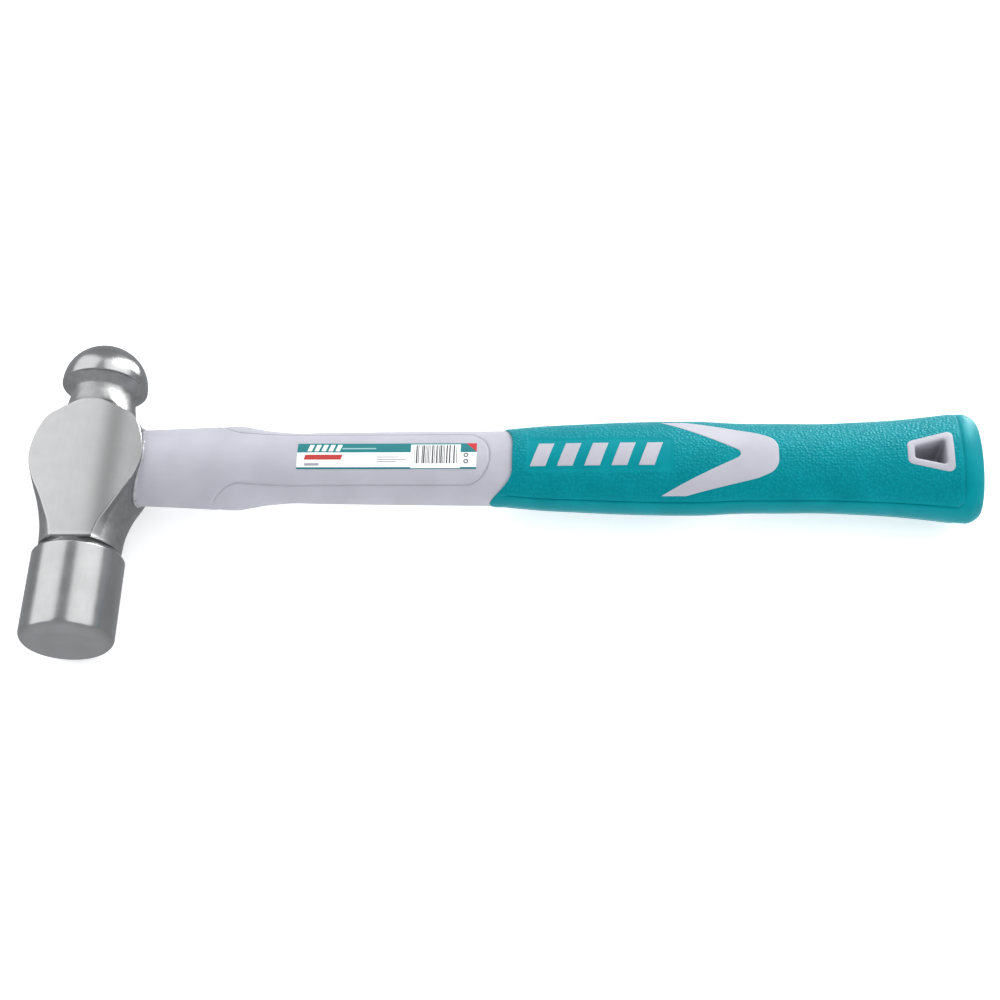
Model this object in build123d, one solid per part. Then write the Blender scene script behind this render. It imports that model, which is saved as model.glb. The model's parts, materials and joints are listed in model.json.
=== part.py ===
from build123d import *
from math import asin, degrees
import os

os.makedirs("parts", exist_ok=True)

# Ball peen hammer, lying on its cheek as on a bench. Millimetres.
# The pieces are drawn about the centre of the eye: +X runs down the handle to the butt,
# +Y runs along the head to the ball, +Z is square to the flat cheek. At the end they are
# moved together, so that the origin is on the bench under the middle of the whole hammer.

# ---- head, measured from the eye's centre ----
face_radius = 19.0            # striking end where its edge starts to round
barrel_radius = 18.8          # striking barrel just below the shoulder
face_flat_radius = 13.0       # middle of the striking face, inside the rounded edge
face_edge_run = 4.8           # length of the rounded edge along the head
face_crown = 1.3              # how far the face stands out in its middle
barrel_start = 39.2           # eye's centre to the shoulder of the barrel
barrel_length = 36.3          # shoulder to the start of the rounded edge
shoulder_run = 2.9            # length of the chamfer at the shoulder
ball_radius = 17.7
ball_reach = 39.5             # eye's centre to the centre of the ball
ball_lip = 1.5                # short straight band under the half ball
ball_underside = 4.0          # length of the cone from the lip to the ball's neck
ball_neck_radius = 13.6
neck_radius = 16.4            # round neck inside the barrel's shoulder
cheek_half = 14.5             # eye's centre to each flat cheek
cheek_grinding = 0.4          # metal ground off each cheek to make it flat
# place along the head, half width of the flat cheek, half width of the body
body_stations = (
    (-barrel_start, 8.3, 16.6), (-35.5, 9.1, 16.9), (-31.0, 10.4, 17.2), (-26.0, 12.9, 18.0),
    (-19.0, 16.5, 19.7), (-11.0, 20.9, 22.2), (-2.0, 23.5, 24.0), (7.0, 22.8, 23.5),
    (14.0, 20.1, 21.4), (20.0, 15.2, 17.9), (24.5, 8.8, 15.7), (27.5, 4.4, 14.9),
)

# ---- eye: wide at both mouths, narrow at the waist ----
eye_mouth_height = 30.0
eye_mouth_width = 19.0
eye_waist_height = 25.0
eye_waist_width = 16.5

# ---- handle ----
core_diameter = 12.5          # pultruded rod
core_cover = 1.2              # resin over the rod's end at the outer mouth of the eye
core_gap = 17.7               # rod's inner end to the rim of the hanging hole
glue_line = 0.8               # resin squeezed out between the head and the jacket
glue_bead = 0.9               # how far that resin stands out round the jacket
grip_start = 168.5            # eye's centre to the front of the grip, at its spines
grip_lobe = 8.4               # how far the jacket runs into the grip on each side
butt_end = 366.5              # eye's centre to the tip of the butt
butt_round = 6.0              # rounding of the butt's edge
grip_wall = 2.6               # rubber over the jacket
jacket_end_wall = 7.0         # rubber behind the end of the jacket
# share of the shaft's length, half height, half thickness
shaft_stations = (
    (0.00, 16.6, 11.0), (0.13, 17.3, 11.5), (0.25, 18.7, 12.4), (0.305, 18.0, 12.0),
    (0.385, 15.9, 10.9), (0.44, 15.5, 10.7), (0.60, 15.9, 10.8), (0.80, 16.3, 11.0),
    (1.00, 16.7, 11.2),
)
# share of the grip's length, half height, half thickness
grip_stations = (
    (0.00, 16.9, 11.4), (0.05, 17.5, 11.7), (0.12, 18.6, 12.2), (0.23, 19.7, 12.8),
    (0.35, 20.4, 13.2), (0.45, 20.3, 13.2), (0.53, 19.5, 12.7), (0.67, 19.3, 12.6),
    (0.80, 20.3, 13.6), (0.89, 22.0, 15.2), (1.00, 24.2, 16.2),
)

# ---- raised panel on each side of the shaft ----
panel_rise = 0.6
panel_half_height = 11.2
panel_start = 54.0            # eye's centre to the mouth of the panel's funnel
panel_funnel = 14.0           # length over which the funnel narrows
panel_gap = 1.2               # round end of the panel to the front of the grip
panel_first_share = 0.30      # share of the shaft's length from which the panel stands out

# ---- windows in the rubber, where the hard plastic shows ----
bar_gap = 17.5                # front of the grip to the first decorative bar
bar_count = 5
bar_pitch = 11.0
bar_width = 6.4
bar_half_height = 5.2
bar_lean = 1.8                # how far the top of a bar leans towards the butt
chevron_gap = 68.7            # front of the grip to the open end of the arms
chevron_depth = 32.3          # open end to the point inside the V
chevron_nose = 15.0           # point inside the V to the round end outside it
chevron_arm_width = 10.0
chevron_half_height = 16.8
chevron_round = 6.5           # length of the round end

# ---- hanging hole through the butt ----
hole_wall = 16.1              # back of the hole to the tip of the butt
hole_length = 12.1
hole_front_half = 2.5
hole_back_half = 5.7
hole_corner = 1.6
rim_width = 2.6               # hard plastic round the hole

# ---- paper label on the upper panel ----
label_gap = 20.5              # narrow end of the panel's funnel to the label
label_length = 74.0
label_half_height = 5.9
label_thickness = 0.15

through = 80.0                # longer than any thickness that a cut has to pass

# ---- places that follow from those sizes ----
body_half_width = max(width for y, flat, width in body_stations)
shaft_front = body_half_width - 8
shaft_end = grip_start + grip_lobe
hole_start = butt_end - hole_wall - hole_length
core_end = hole_start - rim_width - core_gap
core_start = core_cover - body_half_width


def section(x, half_height, half_thickness):
    """An oval across the handle at x."""
    plane = Plane(origin=(x, 0, 0), x_dir=(0, 1, 0), z_dir=(1, 0, 0))
    return plane * Ellipse(half_height, half_thickness)


def oval_bar(stations, start, end, grow=0.0):
    """An oval bar, straight from each station to the next, larger by grow all round."""
    return loft([section(start + share * (end - start), height + grow, thickness + grow)
                 for share, height, thickness in stations], ruled=True)


def prism(outline, above=-through / 2):
    """A flat outline carried square to the cheek, upwards from the height given."""
    return Pos(0, 0, above) * extrude(outline, through)


# ---- head ----
def body_section(y, flat, width):
    """Two straight cheeks joined by two bowed sides."""
    forged_half = cheek_half + cheek_grinding
    upper = ((-flat, y, forged_half), (flat, y, forged_half))
    lower = ((flat, y, -forged_half), (-flat, y, -forged_half))
    return make_face([
        Line(*upper),
        ThreePointArc(upper[1], (width, y, 0), lower[0]),
        Line(*lower),
        ThreePointArc(lower[1], (-width, y, 0), upper[0]),
    ])


def head_body(grow=0.0):
    """The middle of the head, its cheeks ground flat and its sides further out by grow."""
    forged = loft([body_section(y, flat + grow, width + grow) for y, flat, width in body_stations])
    return forged & Box(4 * through, 4 * through, 2 * cheek_half)


def turned(points, arc):
    """A solid turned about the head's axis from a corner list and one closing arc."""
    return revolve(make_face([Polyline(*points)] + arc), Axis.Y)


def striking_barrel():
    """Shoulder, barrel, rounded edge and crowned face."""
    root = -barrel_start + shoulder_run
    shoulder = -barrel_start - shoulder_run
    edge = -barrel_start - barrel_length
    face = edge - face_edge_run
    edge_middle = (face_flat_radius + 0.7 * (face_radius - face_flat_radius),
                   edge - 0.7 * face_edge_run)
    corners = ((0, face - face_crown), (0, root), (neck_radius, root), (neck_radius, -barrel_start),
               (barrel_radius, shoulder), (face_radius, edge))
    crown_radius = (face_flat_radius ** 2 + face_crown ** 2) / (2 * face_crown)
    return turned(corners, [
        ThreePointArc((face_radius, edge), edge_middle, (face_flat_radius, face)),
        CenterArc((0, face - face_crown + crown_radius), crown_radius, 270,
                  degrees(asin(face_flat_radius / crown_radius))),
    ])


def ball_end():
    """The ball's neck, the cone under its lip, and the half ball."""
    lip = ball_reach - ball_lip
    corners = ((0, ball_reach + ball_radius), (0, 0), (ball_neck_radius, 0),
               (ball_neck_radius, lip - ball_underside), (ball_radius, lip),
               (ball_radius, ball_reach))
    return turned(corners, [CenterArc((0, ball_reach), ball_radius, 0, 90)])


def eye_hole():
    """The eye, from mouth to waist to mouth along the handle's axis."""
    reach = body_half_width + 2
    mouth = (eye_mouth_height / 2, eye_mouth_width / 2)
    waist = (eye_waist_height / 2, eye_waist_width / 2)
    return loft([section(-reach, *mouth), section(0, *waist), section(reach, *mouth)])


head_blank = head_body() + striking_barrel() + ball_end()
eye = eye_hole()
head = head_blank - eye

# ---- handle blanks ----
seat = head_body(glue_line)
shaft_blank = oval_bar(shaft_stations, shaft_front, shaft_end)
grip_blank = oval_bar(grip_stations, grip_start - 2, butt_end)
grip_blank = fillet(grip_blank.faces().sort_by(Axis.X)[-1].edges(), butt_round)
inner_end = butt_end - jacket_end_wall
inner_blank = oval_bar(grip_stations, grip_start - 2, butt_end, -grip_wall)
inner_blank = inner_blank & Pos(inner_end - through * 3, 0, 0) * Box(through * 6, through, through)

# ---- core and resin ----
core_length = core_end - core_start
core = Pos(core_start + core_length / 2, 0, 0) * Rot(0, 90, 0) * Cylinder(core_diameter / 2, core_length)
resin_ring = (oval_bar(shaft_stations, shaft_front, shaft_end, glue_bead) & seat) - head_blank
resin = (eye & head_blank) + resin_ring - core


# ---- outlines of the windows and the panel ----
def front_zone():
    """Everything ahead of the grip's curved front edge."""
    spine = grip_stations[0][1]
    tip, back = (grip_start + grip_lobe, 0), grip_start - 2 * through
    edge = ThreePointArc((grip_start, -spine), tip, (grip_start, spine))
    return make_face([
        edge,
        Polyline((grip_start, spine), (grip_start, through), (back, through),
                 (back, -through), (grip_start, -through), (grip_start, -spine)),
    ])


def panel_outline():
    """A long panel, opening in a funnel at the front and round at the back."""
    wide, narrow = 2 * panel_half_height, panel_half_height
    neck = panel_start + panel_funnel
    panel_tip = grip_start - panel_gap
    straight = panel_tip - narrow
    middle = panel_start + 0.3 * panel_funnel, narrow + 0.3 * (wide - narrow)
    return make_face([
        Line((panel_start, -wide), (panel_start, wide)),
        ThreePointArc((panel_start, wide), middle, (neck, narrow)),
        Line((neck, narrow), (straight, narrow)),
        ThreePointArc((straight, narrow), (panel_tip, 0), (straight, -narrow)),
        Line((straight, -narrow), (neck, -narrow)),
        ThreePointArc((neck, -narrow), (middle[0], -middle[1]), (panel_start, -wide)),
    ])


def chevron_outline():
    """A broad V whose arms open towards the head and whose outer end is round."""
    arm_start = grip_start + chevron_gap
    arm_end = arm_start + chevron_arm_width
    inner_tip = arm_start + chevron_depth
    outer_tip = inner_tip + chevron_nose
    shoulder = (outer_tip - chevron_round, 0.55 * chevron_half_height)
    side = [
        Line((inner_tip, 0), (arm_start, chevron_half_height)),
        Line((arm_start, chevron_half_height), (arm_end, chevron_half_height)),
        Line((arm_end, chevron_half_height), shoulder),
    ]
    nose = ThreePointArc(shoulder, (outer_tip, 0), (shoulder[0], -shoulder[1]))
    return make_face(side + [nose] + [mirror(line, Plane.XZ) for line in side])


def hole_outline(grow=0.0):
    """A rounded opening, wider towards the butt, larger all round by grow."""
    front, back = hole_start - grow, hole_start + hole_length + grow
    corners = ((front, -hole_front_half - grow), (back, -hole_back_half - grow),
               (back, hole_back_half + grow), (front, hole_front_half + grow))
    return make_face(FilletPolyline(*corners, radius=hole_corner + grow / 2, close=True))


def bar_outline(index):
    """One leaning decorative bar."""
    x = grip_start + bar_gap + index * bar_pitch
    corners = ((x - bar_lean, -bar_half_height), (x - bar_lean + bar_width, -bar_half_height),
               (x + bar_lean + bar_width, bar_half_height), (x + bar_lean, bar_half_height))
    return make_face(Polyline(*corners, close=True))


# ---- jacket, grip and label ----
front = prism(front_zone())
windows = [prism(chevron_outline()), prism(hole_outline(rim_width))]
windows += [prism(bar_outline(index)) for index in range(bar_count)]
hole = prism(hole_outline())

raised = [(share, height + panel_rise, thickness + panel_rise) if share > panel_first_share
          else (share, height, thickness) for share, height, thickness in shaft_stations]
panel_blank = oval_bar(raised, shaft_front, shaft_end)
panel = panel_blank & prism(panel_outline())
shaft = (shaft_blank + panel) & front
label_top = oval_bar(raised, shaft_front, shaft_end, label_thickness)
label_start = panel_start + panel_funnel + label_gap
label_outline = Pos(label_start + label_length / 2, 0) * Rectangle(label_length, 2 * label_half_height)
label = (label_top & prism(label_outline, 0)) - panel_blank

jacket = shaft - seat + inner_blank
for window in windows:
    jacket = jacket + (grip_blank & window)
jacket = jacket - core - hole

grip = grip_blank - front - inner_blank
for window in windows:
    grip = grip - window

pieces = {
    "head": head,
    "eye_resin": resin,
    "fibreglass_core": core,
    "handle_jacket": jacket,
    "rubber_grip": grip,
    "paper_label": label,
}

# ---- origin on the bench, under the middle of the hammer ----
box = Compound(children=[piece.solid() for piece in pieces.values()]).bounding_box()
centre = box.center()
move = Pos(-centre.X, -centre.Y, -box.min.Z)
for name, piece in pieces.items():
    export_step(move * piece, f"parts/{name}.step")
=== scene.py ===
import json
import math

import bmesh
import bpy
import numpy as np
from mathutils import Matrix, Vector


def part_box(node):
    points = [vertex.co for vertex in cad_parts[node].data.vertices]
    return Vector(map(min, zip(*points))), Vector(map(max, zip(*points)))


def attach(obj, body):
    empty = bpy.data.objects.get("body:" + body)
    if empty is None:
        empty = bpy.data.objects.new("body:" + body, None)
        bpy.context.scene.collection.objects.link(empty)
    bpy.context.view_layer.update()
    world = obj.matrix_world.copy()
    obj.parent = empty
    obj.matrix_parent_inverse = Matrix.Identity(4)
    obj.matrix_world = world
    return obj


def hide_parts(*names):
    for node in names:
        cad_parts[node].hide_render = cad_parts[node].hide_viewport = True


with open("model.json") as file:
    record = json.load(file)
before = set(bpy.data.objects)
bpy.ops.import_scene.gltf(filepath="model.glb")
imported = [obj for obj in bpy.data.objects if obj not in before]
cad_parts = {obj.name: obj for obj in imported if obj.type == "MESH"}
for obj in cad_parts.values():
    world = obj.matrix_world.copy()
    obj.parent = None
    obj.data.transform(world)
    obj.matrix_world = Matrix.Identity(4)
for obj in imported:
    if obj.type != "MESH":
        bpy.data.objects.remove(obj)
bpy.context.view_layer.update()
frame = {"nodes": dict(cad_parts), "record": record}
mm = 0.001
mounts = {mount["name"]: np.array(mount["pos_m"]) for mount in frame["record"]["mounts"]}
# the middle of the eye, which every shape is drawn about in millimetres
eye = (mounts["upper_cheek"] + mounts["lower_cheek"]) / 2
cheekHalf = (mounts["upper_cheek"] - mounts["lower_cheek"])[2] / 2 / mm
buttEnd = (np.array(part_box("rubber_grip")[1])[0] - eye[0]) / mm
print("frame loaded: butt at %.1f mm from the eye" % buttEnd)


def smoothCurve(at, knots, values):
    # cubic Hermite through the knots: tangents are the mean slope of the two spans beside each knot
    knots, values = np.asarray(knots, float), np.asarray(values, float)
    slope = np.diff(values) / np.diff(knots)
    tangent = np.concatenate([slope[:1], (slope[1:] + slope[:-1]) / 2, slope[-1:]])
    at = np.clip(at, knots[0], knots[-1])
    i = np.clip(np.searchsorted(knots, at, side="right") - 1, 0, len(slope) - 1)
    span = knots[i + 1] - knots[i]
    t = (at - knots[i]) / span
    return ((1 + 2 * t) * (1 - t) ** 2 * values[i] + t * (1 - t) ** 2 * span * tangent[i]
            + t * t * (3 - 2 * t) * values[i + 1] + t * t * (t - 1) * span * tangent[i + 1])


def smoothStep(value, low, high):
    # 0 below low, 1 above high, and an S curve between them
    t = np.clip((value - low) / (high - low), 0, 1)
    return t * t * (3 - 2 * t)


def gridQuads(rows, columns, wrap):
    # four neighbours of each cell of a rows by columns grid; wrap joins the last column to the first
    index = np.arange(rows * columns).reshape(rows, columns)
    beside = np.roll(index, -1, 1)
    last = columns if wrap else columns - 1
    corners = [index[:-1, :last], beside[:-1, :last], beside[1:, :last], index[1:, :last]]
    return np.stack(corners, -1).reshape(-1, 4)


def outlineDistance(outline, x, y):
    # signed distance from points to a closed outline, negative inside, with the nearest outline point
    start, end = outline, np.roll(outline, -1, 0)
    along = end - start
    offset = np.stack([x, y], -1)[:, None] - start[None]
    share = np.clip((offset * along).sum(-1) / (along ** 2).sum(-1), 0, 1)
    nearest = start[None] + share[..., None] * along[None]
    gap = np.linalg.norm(np.stack([x, y], -1)[:, None] - nearest, axis=-1)
    best = gap.argmin(1)
    # a point is inside where a line from it towards +X crosses the outline an odd number of times
    crosses = (start[None, :, 1] > y[:, None]) != (end[None, :, 1] > y[:, None])
    rise = np.where(along[:, 1] == 0, 1e-9, along[:, 1])
    hit = x[:, None] < start[None, :, 0] + (y[:, None] - start[None, :, 1]) * along[None, :, 0] / rise[None]
    inside = (crosses & hit).sum(1) % 2 == 1
    rows = np.arange(len(x))
    return np.where(inside, -1, 1) * gap[rows, best], nearest[rows, best]


def roundCorners(corners, radii, steps=8):
    # a closed outline whose corners are replaced by arcs tangent to both sides
    points, count = [], len(corners)
    for i, radius in enumerate(radii):
        corner = np.array(corners[i], float)
        back, ahead = np.array(corners[i - 1]) - corner, np.array(corners[(i + 1) % count]) - corner
        back, ahead = back / np.linalg.norm(back), ahead / np.linalg.norm(ahead)
        half = math.acos(np.clip(back @ ahead, -1, 1)) / 2
        if radius == 0 or abs(half - math.pi / 2) < 0.01:
            points.append(corner[None])
            continue
        middle = (back + ahead) / np.linalg.norm(back + ahead)
        centre = corner + middle * radius / math.sin(half)
        first, last = corner + back * radius / math.tan(half), corner + ahead * radius / math.tan(half)
        a, b = first - centre, last - centre
        turn = math.atan2(a[0] * b[1] - a[1] * b[0], a @ b)
        t = np.linspace(0, turn, steps)[:, None]
        points.append(centre + a * np.cos(t) + np.array([-a[1], a[0]]) * np.sin(t))
    return np.concatenate(points)


def openEdges(quads):
    # the edges that only one face uses, in that face's order
    edges = np.stack([quads, np.roll(quads, -1, 1)], -1).reshape(-1, 2)
    key = np.sort(edges, 1)
    _, first, count = np.unique(key, axis=0, return_index=True, return_counts=True)
    return edges[first[count == 1]]


def cutOut(points, quads, outline, among=None):
    # drops the faces whose middle is inside an outline, then slides the new edge onto it; where among is
    # given, only the faces it marks can go
    before = openEdges(quads)
    middle = points[quads].mean(1)
    near = np.all((middle[:, :2] > outline.min(0) - 1) & (middle[:, :2] < outline.max(0) + 1), 1)
    outside = np.full(len(quads), True)
    outside[near] = outlineDistance(outline, middle[near, 0], middle[near, 1])[0] >= 0
    quads = quads[outside if among is None else outside | ~among]
    edge = openEdges(quads)
    code, oldCode = (np.sort(ends, 1) @ (len(points), 1) for ends in (edge, before))
    edge = edge[~np.isin(code, oldCode)]
    moved = np.unique(edge)
    _, nearest = outlineDistance(outline, points[moved, 0], points[moved, 1])
    points = points.copy()
    points[moved, :2] = nearest
    return points, quads, edge


def makePiece(name, points, quads, triangles=None, sharp=30, attributes=None):
    # one mesh from arrays in millimetres about the eye, put in its place, closed and facing outwards
    triangles = np.zeros((0, 3), int) if triangles is None else triangles
    used = np.unique(np.concatenate([quads.ravel(), triangles.ravel()]))
    lookup = np.zeros(len(points), int)
    lookup[used] = np.arange(len(used))
    points, quads, triangles = points[used], lookup[quads], lookup[triangles]
    loops = np.concatenate([quads.ravel(), triangles.ravel()]).astype(np.int32)
    sizes = np.concatenate([np.full(len(quads), 4), np.full(len(triangles), 3)]).astype(np.int32)
    mesh = bpy.data.meshes.new(name)
    mesh.vertices.add(len(points))
    mesh.vertices.foreach_set("co", (points * mm + eye).ravel().astype(np.float32))
    mesh.loops.add(len(loops))
    mesh.loops.foreach_set("vertex_index", loops)
    mesh.polygons.add(len(sizes))
    mesh.polygons.foreach_set("loop_start", (np.cumsum(sizes) - sizes).astype(np.int32))
    mesh.update(calc_edges=True)
    for key, values in (attributes or {}).items():
        layer = mesh.attributes.new(key, "FLOAT", "POINT")
        layer.data.foreach_set("value", values[used].astype(np.float32))
    work = bmesh.new()
    work.from_mesh(mesh)
    bmesh.ops.remove_doubles(work, verts=work.verts, dist=0.002 * mm)
    bmesh.ops.recalc_face_normals(work, faces=work.faces)
    work.to_mesh(mesh)
    work.free()
    mesh.shade_smooth()
    mesh.set_sharp_from_angle(angle=math.radians(sharp))
    mesh.validate()
    piece = bpy.data.objects.new(name, mesh)
    bpy.context.scene.collection.objects.link(piece)
    print("  %s: %d triangles" % (name, sum(len(face.vertices) - 2 for face in mesh.polygons)))
    return piece


def join(parts):
    # several (points, quads, triangles) sets as one
    points, quads, triangles, base = [], [], [], 0
    for part in parts:
        points.append(part[0])
        quads.append(part[1] + base)
        if len(part) > 2 and part[2] is not None:
            triangles.append(part[2] + base)
        base += len(part[0])
    return (np.concatenate(points), np.concatenate(quads),
            np.concatenate(triangles) if triangles else np.zeros((0, 3), int))


head = {
    "faceRadius": 19.0, "barrelRadius": 18.8, "faceFlat": 13.0, "faceEdge": 4.8, "faceCrown": 1.3,
    "shoulder": 39.2, "barrelLength": 36.26, "shoulderRun": 2.9, "neckRadius": 16.4,
    "ballRadius": 18.0, "ballRise": 17.7, "ballReach": 39.5, "ballLip": 1.5, "lipRound": 0.5,
    "ballUnderside": 4.0, "ballNeck": 13.6,
    "edgeSoftness": 0.3,       # width of the ground break along the cheek's edge
    "shoulderFillet": 3.2, "filletRise": 2.6,   # hollow where the cheek sweeps up to the shoulder
    "cheekCrown": 0.3,         # how far the cheek's edges fall below its middle
    "reach": 24.0,             # how far the body reaches away from the handle
    "lean": 0.055,             # how far the forging's cheeks are offset across its thickness
    "faceLean": 0.025,         # how far the face is out of square
    "mouthHalfHeight": 15.0, "mouthHalfWidth": 9.5, "pocketFloor": 10.0,   # far end of the eye
    "mouthLip": 0.25,          # break at the edge of the eye
    "archDepth": 1.5, "archHalf": 8.2,          # how the cheek's end bows towards its middle under the ball
    "paintedBandPlace": 11.5, "paintedBandHalf": 5.0,         # where the dark reflection band painted along each cheek lies, and its half width
}
# place along the head, half width of the cheek, half width of the body
bodyStations = np.array([
    (-39.2, 8.3, 16.6), (-35.5, 9.1, 16.9), (-31.0, 10.4, 17.2), (-26.0, 12.9, 18.0),
    (-19.0, 16.5, 19.7), (-11.0, 20.9, 22.2), (-2.0, 23.5, 23.9), (7.0, 22.8, 23.4),
    (14.0, 20.5, 21.4), (20.0, 16.7, 18.3), (24.5, 11.2, 16.0), (27.5, 7.0, 15.0)])


def arcThrough(first, middle, last, share):
    # points at the given shares along the circle through three points, or along the line if they are in line
    a, b, c = (np.asarray(p, float) for p in (first, middle, last))
    d = 2 * (a[0] * (b[1] - c[1]) + b[0] * (c[1] - a[1]) + c[0] * (a[1] - b[1]))
    if abs(d) < 1e-6:
        return a + (c - a) * share[:, None]
    sa, sb, sc = a @ a, b @ b, c @ c
    centre = np.array([sa * (b[1] - c[1]) + sb * (c[1] - a[1]) + sc * (a[1] - b[1]),
                       sa * (c[0] - b[0]) + sb * (a[0] - c[0]) + sc * (b[0] - a[0])]) / d
    start, halfWay, end = (math.atan2(p[1] - centre[1], p[0] - centre[0]) for p in (a, b, c))
    turn = (end - start) % (2 * math.pi)
    if (halfWay - start) % (2 * math.pi) > turn:
        turn -= 2 * math.pi
    angle = start + turn * share
    return centre + np.linalg.norm(a - centre) * np.stack([np.cos(angle), np.sin(angle)], -1)


def headRing(cornerX, cornerZ, topZ, width, softness):
    # one section of the head: two cheek arcs and two side arcs, with a small flat across each corner;
    # the shares along each arc crowd at its ends
    flat = np.concatenate([[0, 0.012], np.linspace(0.03, 0.97, 25), [0.988, 1]])
    side = np.concatenate([[0, 0.01], np.linspace(0.02, 0.98, 41), [0.99, 1]])
    trim = softness / max(2 * cornerX, 1)
    sideTrim = softness / (2 * cornerZ)
    flat, side = trim + flat * (1 - 2 * trim), sideTrim + side * (1 - 2 * sideTrim)
    top = arcThrough((-cornerX, cornerZ), (0, topZ), (cornerX, cornerZ), flat)
    right = arcThrough((cornerX, cornerZ), (width, 0), (cornerX, -cornerZ), side)
    return np.concatenate([top, right, -top, -right])


def leaning(place, height):
    # how far the forging's two cheeks stand to one side, at a place along the head and a height
    share = smoothStep(place, -36, -14) * (1 - smoothStep(place, 18, 26))
    return head["lean"] * share * height * np.clip(height / cheekHalf, -1, 1) ** 2


def headRows():
    # rows along the head as (place, cornerX, cornerZ, topZ, width): round ones share one corner angle
    h = head
    angle = math.atan2(bodyStations[0, 1], cheekHalf)
    topAngle = 0.5

    def turned(profile, corner):
        return [(y, r * math.sin(corner), r * math.cos(corner), r, r) for y, r in profile]

    # the crowned face, its rounded edge, the barrel and the step down to the shoulder
    edge = -h["shoulder"] - h["barrelLength"]
    faceTip = edge - h["faceEdge"]
    radial = h["faceRadius"] - h["faceFlat"]
    crownRadius = (h["faceFlat"] ** 2 + h["faceCrown"] ** 2) / (2 * h["faceCrown"])
    t = np.linspace(0, math.pi / 2, 22)
    crownR = np.linspace(0.02, 1, 14) * h["faceFlat"]
    crownMiddle = faceTip - h["faceCrown"] + crownRadius
    crown = [(crownMiddle - math.sqrt(crownRadius ** 2 - r * r), r) for r in crownR]
    bevel = [(edge - h["faceEdge"] * math.sin(a), h["faceFlat"] + radial * math.cos(a)) for a in t[::-1]]
    barrelTop = -h["shoulder"] - h["shoulderRun"]
    barrel = [(y, h["faceRadius"] + (h["barrelRadius"] - h["faceRadius"]) * (y - edge) / (barrelTop - edge))
              for y in np.linspace(edge + 0.4, barrelTop - 0.4, 24)]
    shoulderRows = [(barrelTop - 0.1, h["barrelRadius"] - 0.01), (barrelTop + 0.15, h["barrelRadius"] - 0.12)]
    fall = h["neckRadius"] - h["barrelRadius"]
    shoulderRows += [(barrelTop + s * h["shoulderRun"], h["barrelRadius"] + s * fall)
                     for s in (0.15, 0.5, 0.9, 0.97)]
    rows = turned(crown[:-1] + bevel + barrel + shoulderRows, angle)
    # the flat-cheeked body, whose cheeks sweep up into the shoulder in a small fillet
    places = np.concatenate([[-h["shoulder"] + 0.02], np.linspace(-h["shoulder"] + 0.15, 24.5, 96)])
    cheek = smoothCurve(places, bodyStations[:, 0], bodyStations[:, 1])
    width = smoothCurve(places, bodyStations[:, 0], bodyStations[:, 2])
    depth = np.clip(1 - (places + h["shoulder"]) / h["shoulderFillet"], 0, 1)
    fillet = h["filletRise"] * (1 - np.sqrt(1 - 0.9 * depth ** 2))
    crown = h["cheekCrown"] * (cheek / cheek.max()) ** 2
    corner, middle = cheekHalf + fillet - crown, cheekHalf + fillet
    rows += list(zip(places, cheek, corner, middle, width))
    # the neck under the ball, its cone, its lip and the half ball
    lip = h["ballReach"] - h["ballLip"]
    coneFoot = lip - h["ballUnderside"]
    rows += [(25.0, 8.2, 14.45, 14.5, 15.5), (25.4, 8.1, 14.3, 14.48, 15.35), (25.8, 8.0, 14.05, 14.42, 15.2),
             (26.4, 7.8, 13.6, 14.25, 15.0), (27.2, 7.6, 13.1, 14.1, 14.75), (28.4, 7.2, 12.6, 13.95, 14.35)]
    bend = np.linspace(0, 1, 9)
    lipRound, lipRadius = h["lipRound"], h["ballRadius"] - h["lipRound"]
    flare = lipRadius - h["ballNeck"]
    under = [(30.0 + (coneFoot - 30.0) * s, h["ballNeck"] + 0.35 * (1 - s) ** 2) for s in bend[:-1]]
    under += [(coneFoot + h["ballUnderside"] * s, h["ballNeck"] + flare * s ** 1.25) for s in bend]
    t = np.linspace(0, math.pi / 2, 10)
    under += [(lip + lipRound * (1 - math.cos(a)), lipRadius + lipRound * math.sin(a)) for a in t[1:]]
    under += [(y, h["ballRadius"]) for y in (lip + 0.8, lip + 1.15)]
    t = np.linspace(0, math.pi / 2, 40)[:-1]
    under += [(h["ballReach"] + h["ballRise"] * math.sin(a), h["ballRadius"] * math.cos(a)) for a in t]
    rows += turned(under, topAngle)
    poles = (faceTip - h["faceCrown"], h["ballReach"] + h["ballRise"])
    return rows, poles


def buildHead():
    # each row is a ring square to the head's axis; the two ends close on a pole
    rows, poles = headRows()
    rings = np.stack([headRing(*row[1:], head["edgeSoftness"]) for row in rows])
    count, columns = rings.shape[:2]
    place = np.array([row[0] for row in rows])
    # the cheek's upper end is arched, so rows near it bow with the distance from the middle
    bow = -head["archDepth"] * smoothStep(place, 16, 25.2) * (1 - smoothStep(place, 25.4, 31))
    y = place[:, None] + bow[:, None] * np.clip(np.abs(rings[..., 0]) / head["archHalf"], 0, 1.3) ** 2
    face = 1 - smoothStep(place, -head["shoulder"] - head["barrelLength"], -head["shoulder"] - 6)[:, None]
    y = y + head["faceLean"] * rings[..., 0] * face
    x = np.maximum(rings[..., 0] + leaning(place[:, None], rings[..., 1]), -head["reach"])
    points = np.stack([x, y, rings[..., 1]], -1).reshape(-1, 3)
    points = np.concatenate([points, [[0, poles[0], 0], [0, poles[1], 0]]])
    quads = gridQuads(count, columns, True)
    ring = np.arange(columns)
    low = np.stack([ring, np.roll(ring, -1), np.full(columns, count * columns)], -1)
    high = np.stack([np.roll(ring, -1), ring, np.full(columns, count * columns + 1)], -1)
    high[:, :2] += (count - 1) * columns
    return points, quads, np.concatenate([low, high])


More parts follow.
